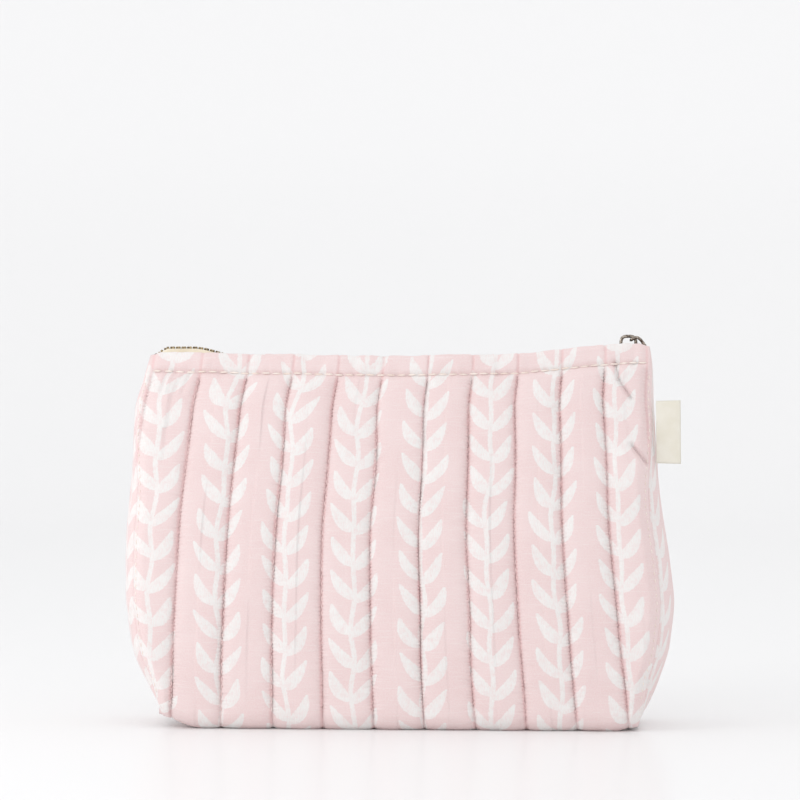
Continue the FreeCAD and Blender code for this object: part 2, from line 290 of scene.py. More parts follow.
def level_at(along):
    """The level at a length along the section."""
    return np.interp(along, PROFILE_LENGTH, PROFILE_LINE[:, 1])


def lip_drop(x):
    """How far the lip sags: most in the middle, a little at the left, and up at the right."""
    middle = 1.6 * MM * np.cos(np.clip(x / 0.109, -1, 1) * math.pi / 2) ** 2
    return 0.5 * MM + middle - 3.6 * MM * smooth(x, 0.045, 0.108) + 0.25 * MM * noise(x / 0.021, 0, 5)


def crease(x, level, start, end, width, depth):
    """A valley (or a ridge, where depth is negative) along a line on the wall."""
    start, end = np.array(start), np.array(end)
    run = end - start
    t = ((x - start[0]) * run[0] + (level - start[1]) * run[1]) / (run @ run)
    away = np.hypot(x - start[0] - run[0] * np.clip(t, 0, 1), level - start[1] - run[1] * np.clip(t, 0, 1))
    fade = smooth(t, -0.25, 0.15) * (1 - smooth(t, 0.85, 1.25))
    return -depth * np.exp(-((away / width) ** 2)) * fade


def corner_lift(x):
    """How far the bottom edge lifts off the floor at the bag's two lower corners."""
    return 5.5 * MM * smooth(-x, 0.084, 0.108) + 2.0 * MM * smooth(x, 0.092, 0.108)


def line_pitch(level):
    """The channels' width at a level: the cloth is gathered towards the lip."""
    return PITCH_BASE + (PITCH_LIP - PITCH_BASE) * np.clip(level / LIP_LEVEL, 0, 1)


def wall_height(x, share, level, along, seed):
    """How far the cloth stands out from the plain wall.

    Every channel is a hump that drops steeply to its quilting lines; short puckers
    cross each line at every stitch and die out a few millimetres away; the band above
    the topstitching is a low roll of its own.
    """
    channel = share - SPLIT_LINE
    number = np.round(channel)
    sway = 0.26 * MM * np.sin(4 * math.pi * along / STITCH_PITCH + 3 * number)
    sway = sway + 0.5 * MM * noise(along / 0.031, number * 3.7, seed)
    away = (channel - number) * line_pitch(level) + sway
    reach = np.clip(np.abs(away) / (line_pitch(level) / 2), 0, 1)
    hump = 0.45 * (1 - (1 - reach) ** 2.2) + 0.55 * (1 - (1 - reach) ** 7)
    full = 1 + 0.22 * noise(number * 5.3, along / 0.05, seed + 1)
    pucker = noise(along / (STITCH_PITCH * 0.55), number * 2.9 + np.sign(away) * 0.7, seed + 2)
    pucker = pucker * np.exp(-np.abs(away) / (2.1 * MM)) * smooth(np.abs(away), 0, 0.8 * MM)
    pull = noise(along / 0.0062, number * 1.7 + np.sign(away), seed + 3)
    pull = pull * np.exp(-np.abs(away) / (4.5 * MM)) * smooth(np.abs(away), 0, 1.5 * MM)
    quilting = PUFF * hump * full - LINE_DEPTH + 0.5 * MM * pucker + 0.4 * MM * pull
    groove = -1.0 * MM * np.exp(-np.abs(away) / (0.45 * MM))
    band_start = at_level(LIP_LEVEL - BAND)
    below = smooth(band_start - along, -0.5 * MM, 4 * MM)
    above = np.clip((along - band_start) / (LIP_START - band_start), 0, 1)
    rumple = noise(x / (6.5 * MM), along / 0.006, seed + 8)
    rumple = rumple + 0.5 * noise(x / (3.1 * MM), along / 0.005, seed + 9)
    roll = (1.5 + 0.4 * rumple) * MM * np.sqrt(np.clip(above * (1.9 - above), 0, 1)) + 0.5 * groove
    from_row = np.abs(band_start - along)
    gather = 0.4 * MM * noise(x / (1.9 * MM), along / 0.012, seed + 4) * np.exp(-from_row / (4 * MM))
    gather = gather - 0.8 * MM * np.exp(-((from_row / (0.9 * MM)) ** 2))
    stitched = np.where(along < band_start, (quilting + groove) * below, roll) + gather
    bottom = smooth(along, 0.5 * FLOOR_RUN, WALL_START + 4 * MM)
    soft = 0.9 * MM * noise(x / 0.045, along / 0.052, seed + 6) * smooth(along, 0.01, 0.05)
    weave = 0.07 * MM * noise(x / (2.3 * MM), along / (2.0 * MM), seed + 7)
    return stitched * (0.25 + 0.75 * bottom) + (soft + weave) * smooth(band_start - along, -2 * MM, 20 * MM)


# The front wall's folds by the slider and the label: both ends (x, level), width and depth.
FRONT_FOLDS = (((0.0945, 0.157), (0.0975, 0.149), 0.8 * MM, 2.2 * MM),
               ((0.0975, 0.149), (0.1040, 0.141), 0.8 * MM, 2.2 * MM),
               ((0.1040, 0.1225), (0.1105, 0.1145), 0.9 * MM, 2.6 * MM))
CORNER_PLEATS, PLEAT_LEFT, PLEAT_PITCH = 4, -0.1005, 3.1 * MM


def front_creases(x, level):
    """The front wall's own folds: by the slider, by the label, and a few pleats at the left corner."""
    total = 0.0
    for start, end, width, depth in FRONT_FOLDS:
        total = total + crease(x, level, start, end, width, depth)
    for number in range(CORNER_PLEATS):
        left = PLEAT_LEFT + number * PLEAT_PITCH
        total = total + crease(x, level, (left, 0.155), (left - 1.5 * MM, 0.146), 0.8 * MM, 0.8 * MM)
    return total


def wall_point(x_share, along, side, offset=0.0, puffed=True):
    """A point of a wall: x_share is the channel number, along the length up the section.

    The plain section is moved out by the quilting's height, rounded back towards the
    middle plane near both end seams, lowered by the lip's sag and leant to the left.
    """
    x_share, along = np.broadcast_arrays(np.asarray(x_share, float), np.asarray(along, float))
    depth = np.interp(along, PROFILE_LENGTH, PROFILE_LINE[:, 0])
    level = level_at(along)
    normal_y = np.interp(along, PROFILE_LENGTH, PROFILE_NORMAL[:, 0])
    normal_z = np.interp(along, PROFILE_LENGTH, PROFILE_NORMAL[:, 1])
    end = seam_length(level)
    x = x_share * line_pitch(level)
    x = x + LINE_SHIFT * smooth(level, 0.05, 0.13) * (1 - np.clip(x / end, -1, 1) ** 4)
    x = np.clip(x, -end, end)
    near = np.clip(end - np.abs(x), 0, None)
    flat = smooth(near, 0.0, 5 * MM)
    height = wall_height(x, x_share, level, along, 11 if side < 0 else 41) * flat if puffed else 0.0
    if puffed and side < 0:
        height = height + front_creases(x, level)
    height = height + offset
    radius = np.minimum(EDGE_RADIUS, 0.42 * depth)
    back = radius - np.sqrt(np.clip(radius**2 - np.clip(radius - near, 0, None) ** 2, 0, None))
    back = back * smooth(along, 0.0, WALL_START) * (1 - smooth(along, LIP_START - 14 * MM, LIP_START))
    y = side * (depth + normal_y * height - back)
    z = level + normal_z * height
    z = z - lip_drop(x) * smooth(level, 0.09, LIP_LEVEL)
    z = z + corner_lift(x) * smooth(level, 0.03, 0.0)
    x = x - LEAN * smooth(level, 0.045, 0.1) * smooth(level, LIP_LEVEL, 0.138)
    x = x + 1.2 * MM * smooth(level, 0.045, 0.0)
    return stacked(x, y, z)


def columns(first, last):
    """Channel numbers from one to another, closer together near each quilting line."""
    whole = np.arange(math.floor(first * 2) / 2, last + 0.5, 0.5)
    steps = 0.5 - 0.5 * np.cos(np.linspace(0, math.pi, 15)[:-1])
    steps = 0.55 * steps + 0.45 * np.linspace(0, 1, 15)[:-1]
    found = np.concatenate([start + steps * 0.5 for start in whole])
    found = found[(found > first + 1e-6) & (found < last - 1e-6)]
    return np.concatenate([[first], found, [last]])


def wall_grid(half, along, side, offset=0.0, puffed=True, trim=0.0):
    """A grid over the left (-1) or right (1) half of a wall, split on a quilting line.

    Inside the last quilting line the columns keep to their channels; past it they
    spread to reach the end seam at every level.
    """
    level = level_at(along)
    end = ((seam_length(level) - trim) / line_pitch(level))[:, None]
    last = LAST_LINE
    if half < 0:
        inner = columns(-last, SPLIT_LINE)
        outer = np.linspace(1, 0, 26)[:-1]
        share = np.hstack([-(last + (end - last) * outer[None]), np.tile(inner, (len(along), 1))])
    else:
        inner = columns(SPLIT_LINE, last)
        outer = np.linspace(0, 1, 26)[1:]
        share = np.hstack([np.tile(inner, (len(along), 1)), last + (end - last) * outer[None]])
    points = wall_point(share, along[:, None], side, offset, puffed)
    gathered = PITCH_BASE * (1 - 0.05 * level / LIP_LEVEL)[:, None]
    return points, stacked(share * gathered, along[:, None])


def blend_half(piece, half):
    """One half of a wall: its placement is baked into its points, the same way for either half."""
    if half < 0:
        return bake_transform(piece)
    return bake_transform(piece)


def panel(title, side, half):
    """Half of one quilted wall: printed cloth outside, plain underside, wadding between."""
    along = np.concatenate([np.linspace(0, WALL_START, 26, endpoint=False),
                            np.linspace(WALL_START, LIP_START, 320, endpoint=False),
                            np.linspace(LIP_START, PROFILE_LENGTH[-1], 18)])
    outer, cloth = wall_grid(half, along, side)
    depth = PANEL_THICKNESS * smooth(PROFILE_LENGTH[-1] - along, 6 * MM, 15 * MM) + EDGE_THICKNESS
    inner, _ = wall_grid(half, along, side, -depth[:, None], puffed=False)
    return shell(half_name(title, "panel", half), outer, inner, cloth, flip=side > 0)


# ---------------------------------------------------------------- finishes

class Value:
    """A number socket that adds Math nodes when it is used in an expression."""

    def __init__(self, finish, socket):
        self.finish, self.socket = finish, socket

    def maths(self, operation, *others):
        """A Math node with this value first."""
        return self.finish.maths(operation, self, *others)

    def swapped(self, operation, other):
        """A Math node with this value second."""
        return self.finish.maths(operation, other, self)

    def __add__(self, other):
        return self.maths("ADD", other)

    def __radd__(self, other):
        return self.swapped("ADD", other)

    def __sub__(self, other):
        return self.maths("SUBTRACT", other)

    def __rsub__(self, other):
        return self.swapped("SUBTRACT", other)

    def __mul__(self, other):
        return self.maths("MULTIPLY", other)

    def __rmul__(self, other):
        return self.swapped("MULTIPLY", other)

    def __truediv__(self, other):
        return self.maths("DIVIDE", other)

    def __rtruediv__(self, other):
        return self.swapped("DIVIDE", other)

    def __pow__(self, other):
        return self.maths("POWER", other)

    def __abs__(self):
        return self.maths("ABSOLUTE")

    def sine(self):
        """The sine, in radians."""
        return self.maths("SINE")

    def floor(self):
        """The whole number at or below."""
        return self.maths("FLOOR")

    def least(self, other):
        """The smaller of the two."""
        return self.maths("MINIMUM", other)

    def most(self, other):
        """The larger of the two."""
        return self.maths("MAXIMUM", other)

    def step(self, low, high):
        """0 at low, 1 at high, eased between; low may be the larger."""
        node = self.finish.node("ShaderNodeMapRange", {"interpolation_type": "SMOOTHSTEP"},
                                {"Value": self, "From Min": low, "From Max": high})
        return Value(self.finish, node.outputs["Result"])


class Finish:
    """A material being made: a Principled shader, and one method that adds any node."""

    def __init__(self, name, **constants):
        self.material = bpy.data.materials.new(name)
        self.material.use_nodes = True
        self.tree = self.material.node_tree
        self.shader = self.tree.nodes["Principled BSDF"]
        for socket, value in constants.items():
            self.shader.inputs[socket.replace("_", " ")].default_value = value

    def feed(self, socket, value):
        """Links a value to a socket, or sets the socket where the value is a constant."""
        value = value.socket if isinstance(value, Value) else value
        if isinstance(value, bpy.types.NodeSocket):
            self.tree.links.new(value, socket)
        else:
            socket.default_value = value

    def node(self, kind, settings=None, inputs=None):
        """Adds a node: its settings first, then its inputs by name or in order."""
        made = self.tree.nodes.new(kind)
        for key, value in (settings or {}).items():
            setattr(made, key, value)
        pairs = inputs.items() if isinstance(inputs, dict) else enumerate(inputs or [])
        for key, value in pairs:
            self.feed(made.inputs[key], value)
        return made

    def maths(self, operation, *values):
        """A Math node's result, as a value."""
        return Value(self, self.node("ShaderNodeMath", {"operation": operation}, values).outputs[0])

    def place(self, source="Object"):
        """Object coordinates, or the piece's own cloth coordinates."""
        if source == "cloth":
            return self.node("ShaderNodeUVMap", {"uv_map": "cloth"}).outputs["UV"]
        return self.node("ShaderNodeTexCoord").outputs["Object"]

    def parts(self, vector):
        """A vector's three numbers."""
        split = self.node("ShaderNodeSeparateXYZ", None, [vector])
        return [Value(self, split.outputs[i]) for i in range(3)]

    def joined(self, x, y, z=0.0):
        """A vector from three numbers."""
        return self.node("ShaderNodeCombineXYZ", None, [x, y, z]).outputs[0]

    def noise(self, vector, scale, detail=2.0, roughness=0.5):
        """Cloudy noise around 0.5, this many to the metre."""
        made = self.node("ShaderNodeTexNoise", None,
                         {"Vector": vector, "Scale": scale, "Detail": detail, "Roughness": roughness})
        return Value(self, made.outputs[0])

    def mix(self, share, first, second):
        """Two colours mixed by share."""
        made = self.node("ShaderNodeMix", {"data_type": "RGBA"}, {0: share, 6: first, 7: second})
        return made.outputs[2]

    def set(self, name, value):
        """Feeds one of the shader's own inputs."""
        self.feed(self.shader.inputs[name], value)

    def bump(self, height, distance, strength=1.0):
        """Raises the surface by a height times a distance."""
        made = self.node("ShaderNodeBump", None,
                         {"Height": height, "Distance": distance, "Strength": strength})
        self.set("Normal", made.outputs[0])


def colour(red, green, blue):
    """A colour from its screen values, 0 to 255."""
    screen = np.array([red, green, blue]) / 255
    light = np.where(screen <= 0.04045, screen / 12.92, ((screen + 0.055) / 1.055) ** 2.4)
    return (*[float(c) for c in light], 1.0)


def plain_weave(u, v, thread=0.42 * MM):
    """The height of a plain weave: two rows of threads, over and under in turn."""
    turn = math.pi / thread
    warp = (u * turn).sine()
    weft = (v * turn).sine()
    return warp * weft * 0.5 + 0.25 * abs(warp) + 0.25 * abs(weft)


VINE_PITCH = 30.0 * MM
VINE_START = 11.6 * MM
LEAF_PITCH = 14.6 * MM
LEAF_LENGTH = 17.0 * MM
LEAF_WIDTH = 3.7 * MM
LEAF_TURN = math.radians(38)


def leaf_print(finish, u, v):
    """White vines: a wandering stem, and pairs of pointed leaves that open upwards.

    Each leaf lies along a line turned out from its stem. Its half width grows as the
    square root of the way from the stem and closes to a point at the tip.
    """
    place = finish.joined(u, v)
    rough = finish.noise(place, 1100.0, 2.0) - 0.5
    loose = finish.noise(place, 70.0, 1.0) - 0.5
    drift = finish.noise(finish.joined(u * 0.35, v), 22.0, 1.0) - 0.5
    column = ((u - VINE_START) / VINE_PITCH + 0.5).floor()
    stem = column * VINE_PITCH + VINE_START + drift * (9.0 * MM)
    stem = stem + ((v + column * 0.0043) * (math.pi / LEAF_PITCH)).sine() * (0.7 * MM)
    away = u - stem
    out = abs(away)
    side = away.step(-0.1 * MM, 0.1 * MM)
    shift = v + column * (6.1 * MM) + side * (1.3 * MM) + loose * (2.2 * MM)
    row = (shift / LEAF_PITCH).floor()
    rise = shift - row * LEAF_PITCH - 1.6 * MM
    wobble = finish.noise(finish.joined(column * 3.1 + side * 1.7, row * 2.3, 0.5), 1.0, 0.0) - 0.5
    turn_out, turn_up = math.sin(LEAF_TURN), math.cos(LEAF_TURN)
    along = out * turn_out + rise * turn_up
    across = out * turn_up - rise * turn_out + wobble * (1.6 * MM)
    share = (along / LEAF_LENGTH).most(0.001).least(0.999)
    bend = (share - 0.5) * (share - 0.5) * (7.0 * MM) - 1.3 * MM
    width = (share ** 0.5) * ((1 - share) ** 0.85) * (LEAF_WIDTH * 1.75)
    edge = (width - abs(across + bend)).least((LEAF_LENGTH - along) * 0.5 - 0.15 * MM) + rough * (1.1 * MM)
    leaf = edge.step(-0.3 * MM, 0.3 * MM)
    stalk = (1.05 * MM - out + rough * (1.1 * MM)).step(-0.3 * MM, 0.3 * MM)
    worn = finish.noise(place, 330.0, 3.0, 0.75)
    thread = finish.noise(finish.joined(u * 2600.0, v * 420.0), 1.0, 0.0)
    cover = worn.step(0.28, 0.6) * 0.4 + thread.step(0.3, 0.6) * 0.25 + 0.35
    return leaf.most(stalk) * cover


def from_line(u, v):
    """How far a place on a wall's cloth is from its nearest quilting line."""
    channel = u / (1 - (v - WALL_START) * (0.05 / LIP_LEVEL)) / PITCH_BASE - SPLIT_LINE + 0.5
    return abs(channel - channel.floor() - 0.5) * PITCH_BASE


def printed_cotton(name="printed_cotton", lines=True):
    """Pale pink block-printed cotton: white vines, slubs in the yarn and a plain weave.

    Along the quilting lines a painted shade darkens the cloth to a deeper pink, standing in for the shade in
    the folds.
    """
    finish = Finish(name, Roughness=0.88, Sheen_Weight=0.12, Sheen_Roughness=0.5, IOR=1.4)
    finish.shader.inputs["Specular IOR Level"].default_value = 0.25
    u, v, _ = finish.parts(finish.place("cloth"))
    mask = leaf_print(finish, u, v)
    place = finish.joined(u, v)
    blotch = finish.noise(place, 45.0, 3.0).step(0.3, 0.7)
    slub = finish.noise(finish.joined(u * 90.0, v * 1500.0), 1.0, 1.0).step(0.52, 0.75)
    grain = finish.noise(place, 1500.0, 2.0, 0.7).step(0.3, 0.7)
    pink = finish.mix(blotch, colour(229, 204, 203), colour(232, 210, 209))
    pink = finish.mix(slub * 0.3 + grain * 0.45, pink, colour(235, 222, 220))
    white = finish.mix(blotch, colour(232, 230, 228), colour(236, 234, 232))
    cloth = finish.mix(mask, pink, white)
    if lines:
        # painted shade: within 1.3 mm of each quilting line the colour is mixed towards a deeper pink, for
        # the shade in the fold
        cloth = finish.mix(from_line(u, v).step(1.3 * MM, 0.0) * 0.3, cloth, colour(228, 172, 172))
    finish.set("Base Color", cloth)
    weave = plain_weave(u, v)
    finish.bump(weave + 0.35 * slub, 0.09 * MM, 0.5)
    return finish.material


def plain_cloth(name, dark, light, thread=0.4 * MM, source="cloth", rough=0.9):
    """Plain woven cloth that varies a little in colour."""
    finish = Finish(name, Roughness=rough, Sheen_Weight=0.1)
    u, v, w = finish.parts(finish.place(source))
    if source == "Object":
        u, v = u + w * 0.37, v + w
    blotch = finish.noise(finish.joined(u, v), 120.0, 3.0)
    finish.set("Base Color", finish.mix(blotch.step(0.3, 0.7), dark, light))
    finish.bump(plain_weave(u, v, thread), 0.08 * MM, 0.5)
    return finish.material


def dress(piece, material):
    """Gives a piece its material."""
    piece.data.materials.clear()
    piece.data.materials.append(material)
    return piece


# ---------------------------------------------------------------- the two walls

INSIDE_LOW, INSIDE_HIGH = 3.6 * MM, LIP_LEVEL - 11 * MM
LINING_THICKNESS = 0.4 * MM


def lining(title, side, half):
    """Half of one wall's lining: a thin sheet just inside the quilting, a little loose."""
    along = np.linspace(at_level(INSIDE_LOW + 5 * MM), at_level(INSIDE_HIGH), 90)
    depth = PANEL_THICKNESS + EDGE_THICKNESS + SEAM_GAP
    loose = 0.5 * MM * (1 + noise(along[:, None] / 0.02, half * 3.0, 71))
    outer, cloth = wall_grid(half, along, side, -depth - loose, False, trim=4 * MM)
    inner, _ = wall_grid(half, along, side, -depth - loose - LINING_THICKNESS, False, trim=4 * MM)
    return shell(half_name(title, "lining", half), outer, inner, cloth, flip=side > 0)


STITCH_RINGS, STITCH_AROUND = 5, 6


def stitch(length, width, height):
    """One stitch as a small closed bar, thin at both ends: rings of points along X."""
    share = np.linspace(-1, 1, STITCH_RINGS)[:, None]
    swell = np.sqrt(np.clip(1.02 - share**2, 0.04, 1))
    ring = oval(width, height, STITCH_AROUND)
    return stacked(share * length / 2, swell * ring[:, 0], swell * ring[:, 1]).reshape(-1, 3)


def stitch_quads():
    """The faces of one stitch; each of its two ends is closed by two quads."""
    index = np.arange(STITCH_RINGS * STITCH_AROUND).reshape(STITCH_RINGS, STITCH_AROUND)
    turned = np.roll(index, -1, 1)
    sides = np.stack([index[:-1], turned[:-1], turned[1:], index[1:]], -1).reshape(-1, 4)
    first, last = index[0], index[-1]
    ends = [[first[3], first[2], first[1], first[0]], [first[5], first[4], first[3], first[0]],
            [last[0], last[1], last[2], last[3]], [last[0], last[3], last[4], last[5]]]
    return np.vstack([sides, ends])[:, ::-1]


def row_of_stitches(name, middles, runs, outs, length, width, height):
    """Many stitches in one mesh: each turned to run along its seam and stand on the cloth."""
    runs = runs / np.linalg.norm(runs, axis=1)[:, None]
    across = np.cross(outs, runs)
    across /= np.linalg.norm(across, axis=1)[:, None]
    outs = np.cross(runs, across)
    model = stitch(length, width, height)
    points = middles[:, None] + model[None, :, :1] * runs[:, None]
    points = points + model[None, :, 1:2] * across[:, None] + model[None, :, 2:] * outs[:, None]
    faces = stitch_quads()
    quads = (faces[None] + (np.arange(len(middles)) * len(model))[:, None, None]).reshape(-1, 4)
    return make_mesh(name, points.reshape(-1, 3), quads)


def stitches_at(name, share, along, side, step, length, width, lift=0.0):
    """Stitches on a wall at channel numbers and lengths; step is the way to the next one."""
    ahead = wall_point(share + step[0], along + step[1], side)
    behind = wall_point(share - step[0], along - step[1], side)
    middles = (ahead + behind) / 2
    outs = np.zeros_like(middles)
    outs[:, 1] = side
    middles = middles + outs * lift
    return row_of_stitches(name, middles, ahead - behind, outs, length, width, width)


def topstitching(title, side, half):
    """One row of long stitches below the lip, over one half of a wall."""
    pitch = 4.4 * MM
    level = LIP_LEVEL - BAND
    reach = seam_length(level) / line_pitch(level) - 0.12
    first, last = (-reach, SPLIT_LINE) if half < 0 else (SPLIT_LINE, reach)
    count = int((last - first) * line_pitch(level) / pitch)
    share = first + (np.arange(count) + 0.5) * (last - first) / count
    along = np.full(count, float(at_level(level))) + 0.15 * MM * noise(np.arange(count) * 0.7, 0, 9)
    step = (pitch * 0.4 / line_pitch(level), 0.0)
    return stitches_at(half_name(title, "topstitch", half), share, along, side, step,
                       pitch * 0.86, 0.85 * MM, 0.5 * MM)


def quilt_stitches(title, side, half):
    """Small stitches down every quilting line of one half of a wall."""
    along = np.arange(float(at_level(9 * MM)), float(at_level(LIP_LEVEL - BAND - 2 * MM)), STITCH_PITCH)
    lines = np.arange(-5, 1) + SPLIT_LINE - 1 if half < 0 else np.arange(0, 5) + SPLIT_LINE
    lines = lines[np.abs(lines) <= LAST_LINE + 0.01]
    if half > 0:
        lines = lines[lines > SPLIT_LINE + 0.01]
    share, run = np.meshgrid(lines, along)
    share, run = share.ravel(), run.ravel()
    return stitches_at(half_name(title, "quilt_stitches", half), share, run, side,
                       (0.0, STITCH_PITCH * 0.3), STITCH_PITCH * 0.6, 0.46 * MM, 0.22 * MM)


def seam_stitches(title, side, half):
    """A row of small stitches just inside a wall's end seam."""
    along = np.arange(float(at_level(14 * MM)), float(at_level(LIP_LEVEL - BAND - 4 * MM)), STITCH_PITCH)
    level = level_at(along)
    share = half * (seam_length(level) - 1.6 * MM) / line_pitch(level)
    return stitches_at(half_name(title, "seam_stitches", half), share, along, side,
                       (0.0, STITCH_PITCH * 0.3), STITCH_PITCH * 0.55, 0.5 * MM, 0.1 * MM)


# ---------------------------------------------------------------- gussets and base

def gusset_grid(end_side, along, offset=0.0, puffed=True, trim=0.0):
    """A gusset between the two walls' end edges: at each level a bow that stands out past
    the seams, quilted down its middle, with short puckers beside the line."""
    level = level_at(along)
    far = np.full(len(along), PAST_END) * end_side
    front = wall_point(far, along, -1, 0.0, False)[:, None]
    back = wall_point(far, along, 1, 0.0, False)[:, None]
    across = -np.cos(np.linspace(0, math.pi, 45))
    share = across[None, :, None] * (1 - trim)
    points = (front + back) / 2 + (back - front) / 2 * share
    bow = (half_length(level) - seam_length(level))[:, None]
    arch = np.sqrt(np.clip(1 - share[..., 0] ** 2, 0, 1))
    away = np.abs(share[..., 0]) * np.abs((back - front)[..., 1]) / 2
    hump = 1 - (1 - np.clip(away / (9 * MM), 0, 1)) ** 2.4
    height = bow * arch ** 1.2
    if puffed:
        seed = 90 + end_side
        pucker = noise(along[:, None] / (STITCH_PITCH * 0.6), share[..., 0] * 2, seed)
        puff = 1.5 * MM * hump * arch + 0.35 * MM * pucker * np.exp(-away / (3 * MM)) * arch
        fade = smooth(level, LIP_LEVEL, LIP_LEVEL - 25 * MM)[:, None] * smooth(level, 0.0, 0.01)[:, None]
        height = height + (puff - 0.8 * MM * np.exp(-((away / (0.8 * MM)) ** 2))) * fade
        height = height + 0.6 * MM * noise(along[:, None] / 0.03, share[..., 0] * 1.4, seed + 1) * arch * fade
    points[..., 0] += end_side * (height + offset)
    return points, stacked(end_side * (0.13 + across * 0.03), along[:, None])


def gusset(title, end_side):
    """One quilted gusset, closed, with its plain inner face a wadding's thickness inside."""
    along = np.concatenate([np.linspace(FLOOR_RUN * 0.2, WALL_START, 16, endpoint=False),
                            np.linspace(WALL_START, LIP_START, 150)])
    outer, cloth = gusset_grid(end_side, along)
    inner, _ = gusset_grid(end_side, along, -PANEL_THICKNESS, False)
    return shell(title + "_gusset", outer, inner, cloth, flip=end_side < 0)


def gusset_lining(title, end_side):
    """The gusset's lining, a thin sheet inside it."""
    along = np.linspace(at_level(INSIDE_LOW + 5 * MM), at_level(INSIDE_HIGH), 70)
    depth = PANEL_THICKNESS + SEAM_GAP
    outer, cloth = gusset_grid(end_side, along, -depth, False, trim=0.14)
    inner, _ = gusset_grid(end_side, along, -depth - LINING_THICKNESS, False, trim=0.14)
    return shell(title + "_gusset_lining", outer, inner, cloth, flip=end_side < 0)


def base_grid(level, margin, quilted):
    """A grid over the base at a level; quilted, it puffs downwards between its lines."""
    x = np.linspace(-1, 1, 241) * (BASE_LENGTH + 1.2 * MM - margin)
    y = np.linspace(-1, 1, 41) * (SIDE_CURVE[0] - BOTTOM_RADIUS - FLOOR_RUN + 0.8 * MM - margin)
    x, y = np.meshgrid(x, y)
    channel = x / PITCH_BASE - SPLIT_LINE
    away = np.abs(channel - np.round(channel)) * PITCH_BASE
    groove = 0.9 * MM * np.exp(-((away / (1.6 * MM)) ** 2)) if quilted else 0.0
    return np.stack([x, y, level + groove + corner_lift(x)], -1), np.stack([x, y + 0.3], -1)


def base_piece():
    """The quilted base, printed outside, closed with a plain upper face."""
    lower, cloth = base_grid(0.25 * MM, 0.0, True)
    upper, _ = base_grid(2.7 * MM, 0.0, False)
    return shell("base", lower, upper, cloth, flip=True)


def base_lining():
    """The base's lining, a thin sheet on the wadding."""
    lower, cloth = base_grid(3.0 * MM, 2 * MM, False)
    upper, _ = base_grid(3.0 * MM + LINING_THICKNESS, 2 * MM, False)
    return shell("base_lining_sheet", lower, upper, cloth, flip=True)


# ---------------------------------------------------------------- zip

TAPE_EDGE = 1.5 * MM
ROW_PITCH = 2.5 * MM
TAPE_THICKNESS = 0.3 * MM
TAPE_WIDTH = 20.0 * MM
LEFT_CORNER = -0.1085


def chain_level(x):
    """The chain's level: straight by the slider, slack in the middle, and down into the
    seam at its left end."""
    slack = 4.6 * MM * smooth(x, -0.0915, -0.068) * smooth(x, 0.094, 0.055)
    return CHAIN_LEVEL - slack - 3.2 * MM * smooth(x, -0.1015, LEFT_CORNER) ** 1.2


def tape(title, side, half):
    """Half of one tape: up the inside of the lip, then in to the teeth."""
    split = SPLIT_LINE * PITCH_LIP
    first, last = (LEFT_CORNER, split) if half < 0 else (split, TAPE_END)
    x = np.linspace(first, last, 100)[None]
    share = np.linspace(0, 1, 26)[:, None]
    lip = LIP_LEVEL - lip_drop(x) - 2.5 * MM
    inside = LIP_DEPTH - 2 * LIP_RADIUS - 0.5 * MM
    rise = np.clip(share / 0.55, 0, 1)
    turn = np.clip((share - 0.55) / 0.45, 0, 1)
    top = chain_level(x)
    low = INSIDE_HIGH - lip_drop(x)
    deep = half_depth(INSIDE_HIGH) - PANEL_THICKNESS - 1.3 * MM
    y = deep + (inside - deep) * smooth(rise, 0, 1) + (TAPE_EDGE - inside) * turn
    z = low + (lip - low) * rise + (top - lip) * smooth(turn, 0, 0.75)
    outer = stacked(x, side * y, z)
    shift = np.array([0, -side * TAPE_THICKNESS, -TAPE_THICKNESS])
    cloth = stacked(x, share * TAPE_WIDTH)
    return shell(half_name(title, "tape", half), outer, outer + shift, cloth, flip=side > 0)


def tooth():
    """One tooth: a clamped foot on the tape and a rounded head that reaches to the other row."""
    outline = np.array([(0, 1.9), (0.5, 1.9), (0.5, 0.2), (0.42, -0.5), (0.3, -0.85), (0, -0.95)])
    outline = np.vstack([outline[:-1], outline[-1], outline[-2:0:-1] * (-1, 1)])
    count = len(outline)
    levels = ((-0.95, 0.72), (-0.6, 1.0), (0.6, 1.0), (0.95, 0.72))
    points = [np.column_stack([outline * (scale, 1 - (1 - scale) * 0.25), np.full(count, level)])
              for level, scale in levels]
    index = np.arange(count * len(levels)).reshape(len(levels), count)
    turned = np.roll(index, -1, 1)
    sides = np.stack([index[:-1], turned[:-1], turned[1:], index[1:]], -1).reshape(-1, 4)
    pairs = [(k, k + 1, count - k - 1, (count - k) % count) for k in range(count // 2)]
    caps = [[index[row][k] for k in (pair if row else pair[::-1])] for row in (0, -1) for pair in pairs]
    return np.vstack(points) * MM, np.vstack([sides, caps])


def teeth_row(title, side, half):
    """The teeth of one row and one half of the zip, turned to follow the chain's slope."""
    shift = 0.0 if side < 0 else ROW_PITCH / 2
    x = np.arange(LEFT_CORNER + 1 * MM + shift, CHAIN_RIGHT - 0.4 * MM, ROW_PITCH)
    split = SPLIT_LINE * PITCH_LIP
    x = x[x < split] if half < 0 else x[x >= split]
    points, faces = tooth()
    slope = (chain_level(x + 0.5 * MM) - chain_level(x - 0.5 * MM)) / MM
    cos = 1 / np.sqrt(1 + slope**2)
    sin = slope * cos
    px, py, pz = (points[None, :, i] for i in range(3))
    place = stacked(x[:, None] + px * cos[:, None] - pz * sin[:, None], side * py,
                    chain_level(x)[:, None] + px * sin[:, None] + pz * cos[:, None])
    quads = (faces[None] + (np.arange(len(x)) * len(points))[:, None, None]).reshape(-1, 4)
    if side < 0:
        quads = quads[:, ::-1]
    return make_mesh(half_name(title, "teeth", half), place.reshape(-1, 3), quads, smooth_shading=False)


# ---------------------------------------------------------------- slider, ring and label

